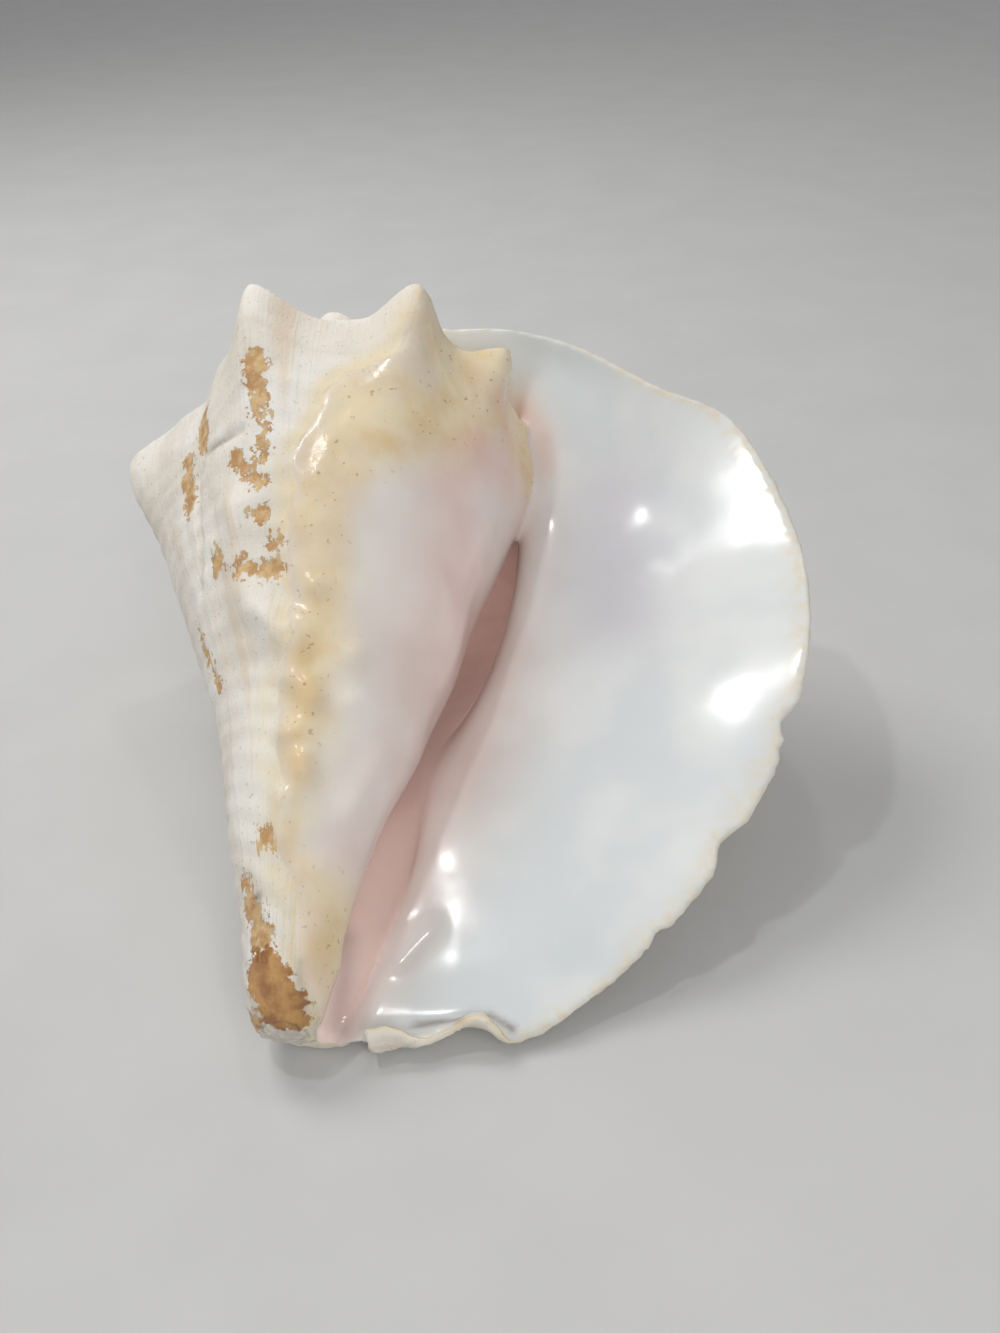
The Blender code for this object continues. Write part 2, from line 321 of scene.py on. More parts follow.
def chips(s):
    """How far the lip's edge has broken back, in mm."""
    m = s * 400
    c = .4 + .4 * wobble(m / 17, 3) + .14 * wobble(m / 6, 4)
    c = c + 3 * np.clip(wobble(m / 9, 5) - .55, 0, 1)
    for at, deep, wide in BITES:
        c = c + deep * np.exp(-np.abs((s - at) / wide) ** 3)
    return np.clip(c, 0, 4.5) * smooth(.22, .40, s) * (1 - .8 * smooth(.93, 1, s))


def lip(n_w, s):
    """The flared lip's inside and outside, from its root to its edge, as grids."""
    dt = .02
    G = np.stack([bend(whorl(np.full_like(s, k * dt), s)) for k in (2, 1, 0)])
    n = normals(G)[1]
    T0 = (G[2] - G[1])
    T0 /= np.linalg.norm(T0, axis=-1, keepdims=True)
    rows = [G[2] - n * WALL, curve(THROAT, s), curve(MIDDLE, s), curve(EDGE, s)]
    back = rows[3] - rows[2]
    back /= np.linalg.norm(back, axis=-1, keepdims=True) + 1e-9
    rows[3] = rows[3] - back * chips(s)[:, None]
    inside = across(rows, T0, n_w)
    ni = normals(inside)
    km = int(round(STATIONS[2] * (n_w - 1)))
    fill = np.array(THROAT_FILL, float)
    fill = along(fill[:, 0], fill[:, 1], s)[:, None]
    away = np.array([.75, .66, 0])
    out = [G[2], rows[1] + away * fill, rows[2] + ni[km] * (WALL * .5 + LIP_EDGE * .5),
           rows[3] + ni[-1] * LIP_EDGE]
    return inside, across(out, T0, n_w)


def round_edge(A, B):
    """Rounds the lip's edge between the outside A and the inside B; gives the rows between."""
    a, b = A[-1].copy(), B[-1].copy()
    t = (A[-1] - A[-4]) + (B[-1] - B[-4])
    t /= np.linalg.norm(t, axis=-1, keepdims=True) + 1e-9
    wide = np.linalg.norm(A[-1] - A[-20], axis=-1)
    h = np.linalg.norm(a - b, axis=-1) / 2 * smooth(.5, 4, wide)
    for G, e in ((A, a), (B, b)):
        d = np.linalg.norm(G - e, axis=-1)
        near = np.clip(1 - d / (4 * h + 1e-6), 0, 1)
        near[:-30] = 0
        G -= t * (h * near)[..., None]
    k = np.linspace(0, math.pi, 9)[1:-1, None, None]
    return (A[-1] + B[-1]) / 2 + (A[-1] - B[-1]) / 2 * np.cos(k) + t * h[:, None] * np.sin(k)


def wall_grid(n_th=200, n_lip=80, n_s=300):
    """Outside, lip's edge and inside of the last whorl as one grid, with its growth values."""
    s = np.linspace(0, 1, n_s)
    th = np.linspace(math.radians(CORE_DEG + 12), 0, n_th)
    T, S = np.meshgrid(th, s, indexing='ij')
    body = bend(whorl(T, S))
    thick = WALL + 9 * smooth(.80, 1, S) * smooth(0, math.radians(35), T)
    within = body - normals(body) * thick[..., None]
    inside, outside = lip(n_lip, s)
    A = np.concatenate([body, outside[1:]])
    B = np.concatenate([within, inside[1:]])
    rim = round_edge(A, B)
    n, r = len(A), len(rim)
    zero = np.zeros((n, n_s))
    T = np.concatenate([T, zero[:n_lip - 1]])
    W = zero.copy()
    W[n_th - 1:] = np.linspace(0, 1, n_lip)[:, None]
    S = np.broadcast_to(s, (n, n_s))

    def sheet(side):
        return np.stack([T, S, W, zero + side], -1)
    mid = np.stack([np.zeros((r, n_s)), np.broadcast_to(s, (r, n_s)), np.ones((r, n_s)),
                    np.broadcast_to(np.linspace(0, 1, r + 2)[1:-1, None], (r, n_s))], -1)
    return (np.concatenate([A, rim, B[::-1]]),
            np.concatenate([sheet(0.), mid, sheet(1.)[::-1]]), n)


def core_grid(n_s=150):
    """The older whorls as a solid coil: closed sections, and the growth values of their outside."""
    a = math.radians(CORE_DEG)
    th = np.concatenate([np.linspace(a, a + TWO_PI, 150), np.linspace(a + TWO_PI, TWO_PI * TURNS, 210)[1:]])
    s = np.linspace(0, 1, n_s)
    T, S = np.meshgrid(th, s, indexing='ij')
    P = bend(whorl(T, S))
    ph = PHI0 + th
    zt, zb = P[:, 0, 2], P[:, -1, 2]
    inner = []
    for k in range(12):            # close each section just past the axis
        z = zb + (zt - zb) * k / 11
        inner.append(bend(np.stack([-np.cos(ph), -np.sin(ph), z], -1)))
    return np.concatenate([P, np.stack(inner, 1)], 1), np.stack([T, S, T * 0, T * 0], -1)


def quads(i):
    return np.stack([i[:-1, :-1], i[1:, :-1], i[1:, 1:], i[:-1, 1:]], -1).reshape(-1, 4)


def as_triangles(q):
    return np.concatenate([q[:, [0, 1, 2]], q[:, [0, 2, 3]]])


def evaluated(ob):
    bpy.context.view_layer.update()
    return bpy.data.meshes.new_from_object(ob.evaluated_get(bpy.context.evaluated_depsgraph_get()))


def through(me, *steps):
    """The mesh after the given modifiers."""
    ob = bpy.data.objects.new("growing", me)
    bpy.context.scene.collection.objects.link(ob)
    for kind, values in steps:
        mod = ob.modifiers.new(kind.lower(), kind)
        for k, v in values.items():
            setattr(mod, k, v)
    out = evaluated(ob)
    bpy.data.objects.remove(ob, do_unlink=True)
    return out


def mesh_arrays(me, scale=1000.):
    P = np.zeros(len(me.vertices) * 3, np.float32)
    me.vertices.foreach_get('co', P)
    me.calc_loop_triangles()
    T = np.zeros(len(me.loop_triangles) * 3, np.int32)
    me.loop_triangles.foreach_get('vertices', T)
    return P.reshape(-1, 3).astype(float) * scale, T.reshape(-1, 3)


def point_normals(P, T):
    a, b, c = (P[T[:, k]] for k in range(3))
    n = np.cross(b - a, c - a)
    out = np.zeros_like(P)
    for k in range(3):
        for j in range(3):
            out[:, j] += np.bincount(T[:, k], n[:, j], len(P))
    return out / (np.linalg.norm(out, axis=1, keepdims=True) + 1e-12)


def carry(Q, P, T, A):
    """Values A of the surface P, T at its points nearest to Q."""
    near = BVHTree.FromPolygons(P.tolist(), T.tolist(), all_triangles=True)
    idx = np.zeros(len(Q), int)
    loc = np.zeros((len(Q), 3))
    for k, q in enumerate(Q.tolist()):
        p, _, i, _ = near.find_nearest(q)
        idx[k] = i
        loc[k] = p
    a, b, c = (P[T[idx, j]] for j in range(3))
    v0, v1, v2 = b - a, c - a, loc - a
    d00, d01, d11 = (v0 * v0).sum(1), (v0 * v1).sum(1), (v1 * v1).sum(1)
    d20, d21 = (v2 * v0).sum(1), (v2 * v1).sum(1)
    den = d00 * d11 - d01 * d01 + 1e-12
    v = np.clip((d11 * d20 - d01 * d21) / den, 0, 1)
    w = np.clip((d00 * d21 - d01 * d20) / den, 0, 1)
    u = np.clip(1 - v - w, 0, 1)
    tot = (u + v + w)[:, None]
    return (A[T[idx, 0]] * u[:, None] + A[T[idx, 1]] * v[:, None] + A[T[idx, 2]] * w[:, None]) / tot


def frame_matrix():
    """Shell frame to the resting frame: lean, heading and roll."""
    ps, ya, ro = (math.radians(v) for v in (LEAN_DEG, TURN_DEG, ROLL_DEG))
    a = np.array([math.sin(ya) * math.cos(ps), math.cos(ya) * math.cos(ps), math.sin(ps)])
    x = np.array([math.cos(ya), -math.sin(ya), 0.])
    v = np.cross(x, a)
    x2 = x * math.cos(ro) + v * math.sin(ro)
    v2 = -x * math.sin(ro) + v * math.cos(ro)
    return np.stack([x2, -v2, a], 1)


def view_frame():
    """Eye and its right, up and forward directions, in the shell frame."""
    t, y = math.radians(VIEW_TILT), math.radians(VIEW_YAW)
    f = np.array([0, math.sin(t), math.cos(t)])
    up = np.array([0, -math.cos(t), math.sin(t)])
    r = np.array([1., 0, 0])
    f, r = f * math.cos(y) - r * math.sin(y), r * math.cos(y) + f * math.sin(y)
    eye = -(f * VIEW_FAR + r * (362 - 500) / FOCAL * VIEW_FAR + up * (666.5 - 493) / FOCAL * VIEW_FAR)
    return eye, r, up, f


EYE, RIGHT, UP, AHEAD = view_frame()


# --------------------------------------------------- places on the surface
SKIN = None               # the surface that the places are found on


def spot(u, v):
    """Point of the surface at the place (u, v) of the 1000 x 1333 view, and its normal."""
    d = AHEAD + RIGHT * ((u - 500) / FOCAL) + UP * ((666.5 - v) / FOCAL)
    p, n, _, _ = SKIN.ray_cast(Vector(EYE), Vector(d).normalized())
    if p is None:
        return EYE + d * ((-30 - EYE[1]) / d[1]), -d / np.linalg.norm(d)
    return np.array(p), np.array(n)


def from_line(P, N, places):
    """Distance (mm) from the line through the places, on the same face of the wall."""
    at = [spot(*q) for q in places]
    if len(at) == 1:
        at = at * 2
    best = np.full(len(P), 1e3)
    for (a, m), (b, n) in zip(at[:-1], at[1:]):
        ab = b - a
        t = np.clip((P - a) @ ab / (ab @ ab + 1e-9), 0, 1)[:, None]
        d = np.linalg.norm(P - a - t * ab, axis=1)
        facing = (N * (m * (1 - t) + n * t)).sum(1)
        best = np.minimum(best, d + 12 * (1 - smooth(-.2, .35, facing)))
    return best


def right_of(P, places):
    """Signed distance (mm) on the aperture side, positive to the right of the line that
    runs down through the places."""
    q = np.array([spot(*p)[0][[0, 2]] for p in places] + [[220, -180], [220, 70]])
    X = P[:, [0, 2]]
    inside = np.zeros(len(P), bool)
    best = np.full(len(P), 1e9)
    for a, b in zip(q, np.roll(q, -1, 0)):
        ab = b - a
        t = np.clip(((X - a) @ ab) / (ab @ ab + 1e-9), 0, 1)[:, None]
        best = np.minimum(best, np.linalg.norm(X - a - t * ab, axis=1))
        cross = (a[1] > X[:, 1]) != (b[1] > X[:, 1])
        xi = a[0] + (X[:, 1] - a[1]) / (b[1] - a[1] + 1e-9) * ab[0]
        inside ^= cross & (X[:, 0] < xi)
    return np.where(inside, best, -best)


# outlines on the aperture side, from the spire down
GLAZE_EDGE = [(458, 330), (400, 352), (342, 378), (314, 425), (294, 460), (290, 540), (288, 640),
              (280, 700), (276, 770), (280, 830), (292, 880), (302, 950), (325, 1030)]
GOLD_EDGE = [(508, 462), (440, 466), (378, 478), (350, 520), (345, 640), (334, 700), (328, 760),
             (314, 830), (300, 852)]
COLUMELLA = [(528, 440), (524, 500), (512, 530), (500, 560), (492, 580), (485, 610), (472, 650),
             (442, 710), (412, 765), (392, 795), (362, 850), (343, 890), (329, 930), (320, 1000),
             (318, 1035)]

# worn patches where the brown layer shows: places, half width in mm
FLAKES = [
    ([(256, 358), (258, 407)], 2.6),
    ([(203, 418), (202, 442)], 3.0),
    ([(187, 463), (188, 508)], 2.5),
    ([(262, 430), (261, 450)], 1.7),
    ([(234, 459), (241, 466)], 1.8),
    ([(252, 470), (259, 481)], 1.9),
    ([(263, 458)], 1.5),
    ([(259, 513)], 2.5),
    ([(275, 542)], 1.9),
    ([(216, 562)], 2.8),
    ([(241, 569), (275, 569)], 2.1),
    ([(199, 634), (207, 660), (219, 687)], 1.0),
    ([(266, 837)], 2.8),
    ([(245, 882)], 1.9),
    ([(250, 900), (261, 944)], 2.4),
    ([(243, 1000), (253, 1026)], 2.2),
    ([(650, 931), (678, 941)], 3.2),
]
END_PATCH = [(262, 972), (272, 992), (284, 1014)]

# dark lines and spots: places, half width in mm, strength
DARK_MARKS = [
    # darker along the crease on the left flank
    ([(240, 430), (203, 455), (197, 480), (200, 545), (200, 590)], .75, .55),
    ([(412, 1025), (440, 1022), (456, 1019), (490, 1017), (512, 1029)], 1.1, .6),
    ([(258, 897)], 1.3, .7),
    # darker down the canal groove
    ([(345, 940), (343, 985), (340, 1028)], 3.5, .35),
    ([(299, 962), (303, 1024)], 1.3, .25),
]

# low relief: places, half width in mm, height in mm
RELIEF = [
    ([(235, 505)], 5.5, 2.2),
    ([(240, 600), (295, 640)], 4.5, 1.5),
    ([(238, 520), (236, 562), (262, 612), (294, 652), (304, 702), (296, 770), (280, 832)], 4.2, 1.5),
    ([(262, 606), (284, 628)], 2.8, 1.0),
    ([(308, 688), (315, 700)], 3.0, 1.6),
    ([(290, 680)], 2.6, 1.3),
    ([(288, 735)], 3.0, 1.5),
    ([(303, 762), (305, 772)], 3.0, 1.6),
    ([(282, 800)], 2.8, 1.2),
    ([(315, 587)], 3.0, 1.3),
    ([(355, 655)], 3.6, 1.1),
    ([(350, 705)], 3.4, 1.0),
    ([(345, 815), (375, 760)], 3.4, 1.3),
    ([(484, 530), (452, 640), (398, 760), (348, 860)], 6.0, 1.0),
    ([(240, 430), (203, 455), (197, 480), (200, 545), (200, 590)], 1.3, -.9),
    ([(615, 500), (615, 612)], 17, -1.7),
    ([(650, 560), (600, 640), (570, 680)], 7, .9),
    ([(400, 960), (430, 930)], 3, -1.0),
    ([(465, 965), (535, 965)], 12, 1.4),
    ([(585, 975)], 8, -1.2),
    ([(430, 325), (458, 400)], 1.3, .4),
    ([(441, 322), (470, 400)], 1.4, .5),
    ([(452, 335), (484, 400)], 1.3, .4),
]
GLOSSY = [([(245, 612), (258, 700), (262, 840)], 8.0), ([(235, 505)], 5.5)]
BLUSH = [([(478, 452), (505, 472)], 8.0, .40), ([(500, 400), (506, 440)], 4.0, .35),
         ([(524, 412), (543, 432), (546, 466)], 3.6, .30)]


def fields(P, N, A):
    """What the surface is at each point: distances in mm, and shares from 0 to 1."""
    th, s, w, side = A.T
    deg = np.degrees(th)
    v, z = -P[:, 1], P[:, 2]
    body = (w < .02) & (side < .5)
    ragged = 1.6 * noise(P, 9, 1) + .9 * noise(P, 4, 2)

    glaze = right_of(P, GLAZE_EDGE) + ragged
    facing = (-N[:, 1] + .15) * 12
    glaze = np.where(deg < CORE_DEG, np.minimum(glaze, facing), glaze)
    glaze = np.where(s < .25, np.minimum(glaze, (v + 12) * .5), glaze)
    glaze = np.where(body, glaze, (side - .5) * 14 + .6 * noise(P, 3, 4))
    glaze = np.clip(glaze, -8, 8)

    gold = np.minimum(glaze, -right_of(P, GOLD_EDGE) + 1.2 * ragged)
    gold = smooth(-6, 7, gold) * body

    inside = (side > .5) * (1 - smooth(.08, .60, w))
    chamber = body * smooth(-14, 14, right_of(P, COLUMELLA)) * (glaze > 0)
    depth = np.maximum(inside, chamber)
    # deep: where the chamber walls get a painted rosy glow, as emission in the material
    deep = (side > .5) * (1 - smooth(.02, .16, w))

    flake = np.full(len(P), -8.)
    for places, r in FLAKES:
        flake = np.maximum(flake, r - from_line(P, N, places))
    flake = flake + .5 * noise(P, 3, 6)
    end = 5.6 - from_line(P, N, END_PATCH) + ragged * .5
    darkened = np.zeros(len(P))
    for places, r, k in DARK_MARKS:
        darkened = np.maximum(darkened, k * np.exp(-(from_line(P, N, places) / r) ** 2))
    blush = np.zeros(len(P))
    for places, r, k in BLUSH:
        blush = np.maximum(blush, k * np.exp(-(from_line(P, N, places) / r) ** 2))
    gloss = np.zeros(len(P))
    for places, r in GLOSSY:
        gloss = np.maximum(gloss, np.exp(-(from_line(P, N, places) / r) ** 2))
    # painted shade: the hollow on the lip's inner face is given a darker grey-mauve colour
    lip_hollow_shade = np.exp(-(from_line(P, N, [(615, 500), (615, 612)]) / 15) ** 2)

    to_eye = EYE - P
    to_eye /= np.linalg.norm(to_eye, axis=1, keepdims=True)
    unseen = 1 - smooth(-.1, .3, (N * to_eye).sum(1))
    u = SHOULDER_R / K * (1 - np.exp(-K * th)) - 85 * w
    e = s * 260 * np.exp(-K * th) * (1 + .5 * w)
    return dict(glaze=glaze, gold=gold, depth=depth, deep=deep, cool=(side > .5) * smooth(.36, .62, w),
                rim=smooth(.94, 1, w), flake=np.clip(flake, -6, 6), end=np.clip(end, -6, 6),
                darkened=darkened, blush=blush, gloss=gloss, lip_hollow_shade=lip_hollow_shade * (side > .5), unseen=unseen,
                grow=np.stack([u, e, np.zeros_like(u)], -1), body=body * 1.)


def relief(P, N, A, F):
    """How far each point of the surface stands out, in mm."""
    th, s, w, side = A.T
    u, e = F['grow'][:, 0], F['grow'][:, 1]
    glazed = smooth(-1.2, 1.2, F['glaze'])
    bare = 1 - glazed
    d = bare * (.32 * noise(P, 14, 11) + .20 * noise(P, 5.5, 12) + .10 * noise(P, 2.8, 13))
    d += bare * .20 * wobble(u / 4.2 + .5 * noise(P, 25, 7), 8)
    d += bare * .14 * np.sin(e * TWO_PI / 6.8 + noise(P, 30, 9)) * smooth(.2, .35, s)
    # the glaze laid over the whorl, lumpy towards its left edge
    near_edge = 1 - smooth(5, 8, F['glaze'])
    d += F['body'] * glazed * (.7 + .25 * noise(P, 17, 14) + near_edge * .75 * noise(P, 7, 15))
    # folds of the lip, the same on both of its faces
    fold = .8 * wobble(s * 400 / 24, 21) * smooth(.5, 1, w) + .12 * wobble(s * 400 / 11, 22) * smooth(.8, 1, w)
    d += fold * np.where(side > .5, 1, -1) * (1 - 4 * np.clip(side * (1 - side), 0, .25))
    d -= .25 * smooth(-.3, .4, F['flake']) * bare
    for places, r, h in RELIEF:
        d += h * np.exp(-(from_line(P, N, places) / r) ** 2)
    return d - .25


def shell_mesh():
    global SKIN
    G, GA, n = wall_grid()
    C, CA = core_grid()
    rows, m = G.shape[:2]
    gi = np.arange(rows * m).reshape(rows, m)
    faces = quads(gi).tolist()
    back = rows - 1 - np.arange(n)
    for c in (0, m - 1):           # the wall's two long sides
        a, b = gi[:n, c], gi[back, c]
        faces += np.stack([a[:-1], a[1:], b[1:], b[:-1]], -1).tolist()
        faces.append(gi[n - 1:rows - n + 1, c].tolist())
    a, b = gi[0], gi[-1]
    faces += np.stack([a[:-1], a[1:], b[1:], b[:-1]], -1).tolist()
    k, l = C.shape[:2]
    ci = np.arange(k * l).reshape(k, l) + rows * m
    nxt = np.roll(ci, -1, axis=1)
    faces += np.stack([ci[:-1], ci[1:], nxt[1:], nxt[:-1]], -1).reshape(-1, 4).tolist()
    faces += [ci[0].tolist(), ci[-1][::-1].tolist()]
    raw = bpy.data.meshes.new("raw")
    raw.from_pydata((np.concatenate([G.reshape(-1, 3), C.reshape(-1, 3)]) * .001).tolist(), [], faces)
    raw.update()

    dense = through(raw, ('REMESH', dict(mode='VOXEL', voxel_size=VOXEL, use_smooth_shade=True)),
                    ('SMOOTH', dict(factor=.5, iterations=3)))
    P, T = mesh_arrays(dense)

    # the growth values of the sheets, carried to the joined surface
    cs = CA.shape[1]
    surf = np.concatenate([G.reshape(-1, 3), C[:, :cs].reshape(-1, 3)])
    vals = np.concatenate([GA.reshape(-1, 4), CA.reshape(-1, 4)])
    tri = np.concatenate([as_triangles(quads(gi)),
                          as_triangles(quads(np.arange(k * cs).reshape(k, cs) + rows * m))])
    A = carry(P, surf, tri, vals)
    SKIN = BVHTree.FromPolygons(P.tolist(), T.tolist(), all_triangles=True)
    N = point_normals(P, T)
    Q = P + N * relief(P, N, A, fields(P, N, A))[:, None]

    dense.vertices.foreach_set('co', (Q * .001).astype(np.float32).ravel())
    dense.update()
    me = through(dense, ('DECIMATE', dict(ratio=TRIS / len(T))))
    me.name = "conch_shell_skin"
    P2, T2 = mesh_arrays(me)
    A2 = carry(P2, Q, T, A)
    F = fields(P2, point_normals(P2, T2), A2)

    W = (P2 @ frame_matrix().T + np.array(SEAT)) * .001
    lo, hi = (np.array(p) for p in CAD_BOX)
    W = np.clip(W, lo + 5e-5, hi - 5e-5)
    me.vertices.foreach_set('co', W.astype(np.float32).ravel())
    for name, values in F.items():
        flat = values.ndim == 1
        a = me.attributes.new(name, 'FLOAT' if flat else 'FLOAT_VECTOR', 'POINT')
        a.data.foreach_set('value' if flat else 'vector',
                           np.ascontiguousarray(values, dtype=np.float32).ravel())
    me.polygons.foreach_set('use_smooth', np.ones(len(me.polygons), bool))
    me.update()
    bpy.data.meshes.remove(raw)
    bpy.data.meshes.remove(dense)
    return me


# ----------------------------------------------------------------- materials
def srgb(*c):
    c = [v / 255 for v in c]
    return tuple(v / 12.92 if v <= .04045 else ((v + .055) / 1.055) ** 2.4 for v in c) + (1.,)


class Tree:
    """Short names for the nodes of one material."""

    def __init__(self, name):
        self.mat = bpy.data.materials.new(name)
        self.mat.use_nodes = True
        self.nt = self.mat.node_tree
        self.bsdf = self.nt.nodes["Principled BSDF"]
        self.place = self.new("ShaderNodeTexCoord").outputs["Object"]

    def new(self, kind, props=(), inputs=()):
        n = self.nt.nodes.new(kind)
        for k, v in dict(props).items():
            setattr(n, k, v)
        for k, v in dict(inputs).items():
            if isinstance(v, bpy.types.NodeSocket):
                self.nt.links.new(v, n.inputs[k])
            else:
                n.inputs[k].default_value = v
        return n

    def field(self, name):
        return self.new("ShaderNodeAttribute", {"attribute_name": name}).outputs["Fac"]

    def calc(self, op, a, b=0.):
        return self.new("ShaderNodeMath", {"operation": op}, {0: a, 1: b}).outputs[0]

    def times(self, a, b):
        return self.calc('MULTIPLY', a, b)

    def plus(self, a, b):
        return self.calc('ADD', a, b)

    def ramp(self, x, lo, hi, a=0., b=1.):
        return self.new("ShaderNodeMapRange", {"interpolation_type": 'SMOOTHSTEP'},
                        {0: x, 1: lo, 2: hi, 3: a, 4: b}).outputs[0]

    def grain(self, size, detail=3., rough=.5, at=None):
        """Noise with lumps of the given size in mm."""
        scale = 1 / size if at is not None else 1000 / size
        return self.new("ShaderNodeTexNoise", {}, {
            "Vector": self.place if at is None else at, "Scale": scale,
            "Detail": detail, "Roughness": rough}).outputs[0]

    def blend(self, f, a, b):
        return self.new("ShaderNodeMix", {"data_type": 'RGBA'}, {0: f, 6: a, 7: b}).outputs[2]

    def share(self, f, a, b):
        return self.new("ShaderNodeMix", {"data_type": 'FLOAT'}, {0: f, 2: a, 3: b}).outputs[0]

    def join(self, socket, name):
        self.nt.links.new(socket, self.bsdf.inputs[name])


def shell_material():
    t = Tree("shell_surface")
    grow = t.new("ShaderNodeAttribute", {"attribute_name": "grow"}).outputs["Vector"]

    def along_growth(a, b):
        return t.new("ShaderNodeVectorMath", {"operation": 'MULTIPLY'}, {0: grow, 1: (a, b, 0)}).outputs[0]

    # the bare outside: chalky, with faint axial streaks, spiral bands and specks
    lines = t.grain(1., 3., .55, along_growth(1.1, .035))
    streak = t.grain(1., 3., .5, along_growth(.12, .012))
    band = t.grain(1., 2., .5, along_growth(.008, .15))
    mid = t.grain(3.2, 4., .6)
    chalk = t.blend(t.ramp(t.grain(24), .35, .65), srgb(240, 237, 229), srgb(229, 222, 210))
    chalk = t.blend(t.times(t.ramp(streak, .54, .70), .38), chalk, srgb(228, 200, 164))
    chalk = t.blend(t.times(t.ramp(band, .56, .70), .22), chalk, srgb(214, 198, 174))
    chalk = t.blend(t.times(t.ramp(lines, .56, .70), .20), chalk, srgb(190, 170, 142))
    chalk = t.blend(t.times(t.ramp(t.grain(1.2, 2.), .64, .71), .40), chalk, srgb(178, 152, 118))
    # a warm fringe beside the glaze
    fringe = t.times(t.ramp(t.field("glaze"), -8., 1.), t.ramp(t.grain(9, 4., .6), .30, .60, .25, .85))
    chalk = t.blend(fringe, chalk, srgb(234, 216, 176))
    # flaked places, ragged and broken up, with crumbs around them
    rough_edge = t.plus(t.times(t.plus(mid, -.5), 8.), t.times(t.plus(t.grain(1.2, 3., .6), -.5), 6.))
    torn = t.times(t.plus(t.grain(1., 4., .6, along_growth(.42, .16)), -.5), 7.)
    flaked = t.ramp(t.plus(t.plus(t.field("flake"), rough_edge), torn), -.5, 0.)
    wild = t.times(t.ramp(t.grain(16, 6., .7), .60, .63), t.ramp(t.grain(70, 2.), .44, .56))
    wild = t.times(wild, t.field("unseen"))
    flaked = t.calc('MAXIMUM', flaked, wild)
    tan = t.blend(t.ramp(t.grain(3, 4., .6), .38, .62), srgb(218, 184, 132), srgb(190, 142, 86))
    outside = t.blend(t.times(flaked, .92), chalk, tan)

    # the glazed inside and inner lip: porcelain, rosy towards the throat, cool on the lip
    glass = t.blend(t.ramp(t.grain(30, 2.), .40, .62), srgb(232, 228, 222), srgb(224, 216, 208))
    rose = t.blend(t.ramp(t.grain(26, 2.), .40, .60), srgb(240, 216, 209), srgb(231, 202, 195))
    glass = t.blend(t.field("depth"), glass, rose)
    cool = t.blend(t.ramp(t.grain(28, 2.), .38, .62), srgb(229, 232, 231), srgb(218, 223, 224))
    glass = t.blend(t.field("cool"), glass, cool)
    # painted shade: darker grey-mauve in the hollow on the lip's inner face
    glass = t.blend(t.times(t.field("lip_hollow_shade"), .55), glass, srgb(196, 190, 200))
    gold = t.blend(t.ramp(t.grain(14, 4., .5), .36, .64), srgb(236, 220, 182), srgb(226, 198, 146))
    gold_share = t.times(t.field("gold"), t.ramp(t.grain(18, 3.), .30, .62, .55, .95))
    glass = t.blend(gold_share, glass, gold)
    speck = t.times(t.ramp(t.grain(1.8, 2.), .66, .72), t.times(t.field("gold"), .45))
    glass = t.blend(speck, glass, srgb(140, 100, 62))
    glass = t.blend(t.field("blush"), glass, srgb(228, 170, 158))
    glass = t.blend(t.times(t.field("rim"), t.ramp(mid, .35, .65, .15, .65)), glass, srgb(226, 212, 184))

    glazed = t.ramp(t.plus(t.field("glaze"), t.times(t.plus(mid, -.5), 2.)), -.6, .6)
    skin = t.blend(glazed, outside, glass)
    end = t.ramp(t.plus(t.field("end"), rough_edge), -.4, .4)
    brown = t.blend(t.ramp(t.grain(5, 4., .6), .36, .64), srgb(202, 152, 84), srgb(160, 104, 48))
    skin = t.blend(t.times(end, .92), skin, brown)
    skin = t.blend(t.field("darkened"), skin, srgb(104, 74, 48))
    t.join(skin, "Base Color")

    dry = t.ramp(t.grain(4, 4.), .3, .7, .56, .84)
    dry = t.share(t.field("gloss"), dry, .26)
    wet = t.ramp(t.grain(24, 2.), .3, .7, .13, .21)
    wet = t.share(t.times(t.field("gold"), .5), wet, .26)
    rough = t.share(glazed, dry, wet)
    rough = t.share(end, rough, .62)
    t.join(rough, "Roughness")

    # fine relief, in mm
    dull = t.plus(t.times(t.grain(.7, 2.), .10), t.times(mid, .26))
    dull = t.plus(dull, t.times(lines, .24))
    dull = t.plus(dull, t.times(flaked, -.16))
    dull = t.share(t.times(t.field("gloss"), .8), dull, .2)
    sleek = t.plus(t.times(t.grain(15, 1.), .14), t.times(t.grain(1.6, 2.), .006))
    sleek = t.plus(sleek, t.times(t.times(t.field("gold"), mid), .14))
    height = t.share(glazed, dull, sleek)
    bump = t.new("ShaderNodeBump", {}, {"Strength": 1., "Distance": .001, "Height": height})
    t.join(bump.outputs[0], "Normal")
    # painted glow: the deep chamber walls emit a faint rosy light, standing in for light that passes through
    # the thin wall
    t.bsdf.inputs["Emission Color"].default_value = (1., .74, .69, 1.)
    t.join(t.times(t.field("deep"), .08), "Emission Strength")
    t.bsdf.inputs["Subsurface Weight"].default_value = .12
    t.bsdf.inputs["Subsurface Radius"].default_value = (1., .55, .4)
    t.bsdf.inputs["Subsurface Scale"].default_value = .004
    return t.mat


def floor_material():
    t = Tree("floor_surface")
    t.join(t.blend(t.ramp(t.grain(40, 4.), .3, .7), (.60, .60, .595, 1), (.58, .58, .575, 1)), "Base Color")
    t.join(t.ramp(t.grain(12, 3.), .3, .7, .62, .78), "Roughness")
    return t.mat


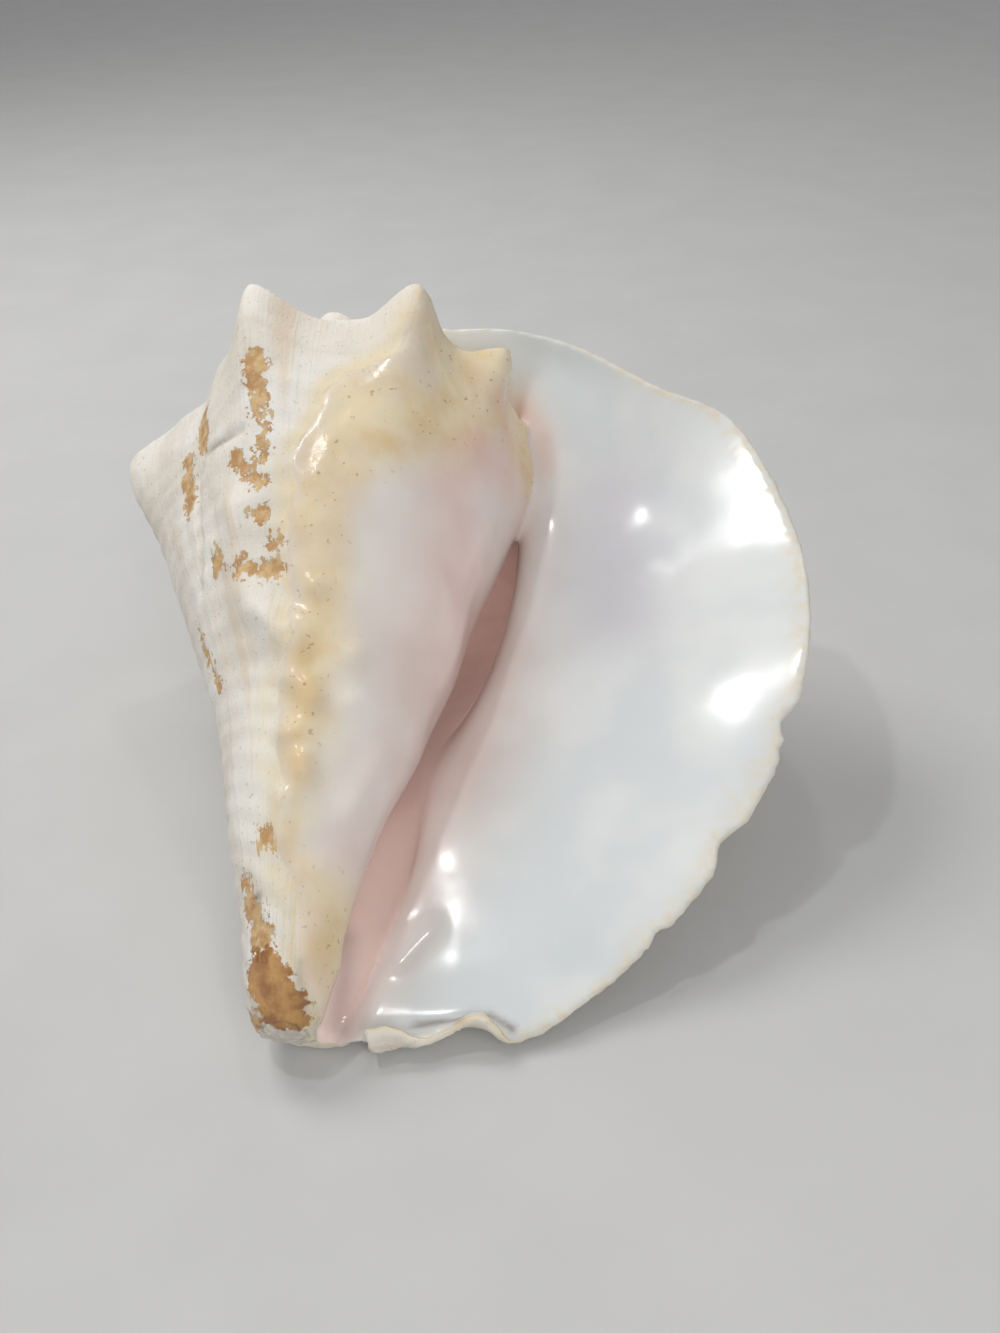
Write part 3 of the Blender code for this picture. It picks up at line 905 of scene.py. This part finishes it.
# --------------------------------------------------------------------- scene
scene = bpy.context.scene


def put(name, data):
    ob = bpy.data.objects.new(name, data)
    scene.collection.objects.link(ob)
    return ob


def light(name, place, size, watts, tint=(1, 1, 1)):
    d = bpy.data.lights.new(name, 'AREA')
    d.shape, d.size, d.energy, d.color = 'DISK', size, watts, tint
    ob = put(name, d)
    ob.location = place
    ob.rotation_mode = 'QUATERNION'
    ob.rotation_quaternion = (Vector((0, 0, .05)) - Vector(place)).to_track_quat('-Z', 'Y')
    ob.visible_camera = False
    return ob


def camera():
    M = frame_matrix()
    cam = bpy.data.cameras.new("view")
    cam.lens = FOCAL / 1333 * 36
    cam.sensor_width = 36
    cam.clip_start, cam.clip_end = .01, 50
    ob = put("view", cam)
    cols = [M @ RIGHT, M @ UP, -(M @ AHEAD)]
    at = (M @ EYE + np.array(SEAT)) * .001
    ob.matrix_world = Matrix([[cols[j][i] for j in range(3)] + [at[i]] for i in range(3)] + [[0, 0, 0, 1]])
    scene.camera = ob


def studio():
    me = bpy.data.meshes.new("floor")
    r = 4
    me.from_pydata([(-r, -r, 0), (r, -r, 0), (r, r, 0), (-r, r, 0)], [], [(0, 1, 2, 3)])
    me.materials.append(floor_material())
    put("floor", me)
    world = bpy.data.worlds.new("studio")
    scene.world = world
    world.use_nodes = True
    bg = world.node_tree.nodes["Background"]
    bg.inputs["Color"].default_value = (.99, .995, 1, 1)
    bg.inputs["Strength"].default_value = .36
    for soft in (light("key", (-.42, .42, .75), .42, 3.6, (1, .985, .96)),
                 light("fill", (.30, -.70, .70), .80, .9),
                 light("low", (.12, -.62, .42), .35, 1.2, (1, .98, .97))):
        soft.visible_glossy = False
    light("spark_left", (-.30, .05, .85), .05, .8)
    light("spark_back", (.05, .34, .80), .05, .35)
    scene.view_settings.view_transform = 'Standard'


piece = put("conch_shell_skin", shell_mesh())
piece.data.materials.clear()
piece.data.materials.append(shell_material())
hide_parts("conch_shell")
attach(piece, "root")
studio()
camera()

bpy.context.view_layer.update()
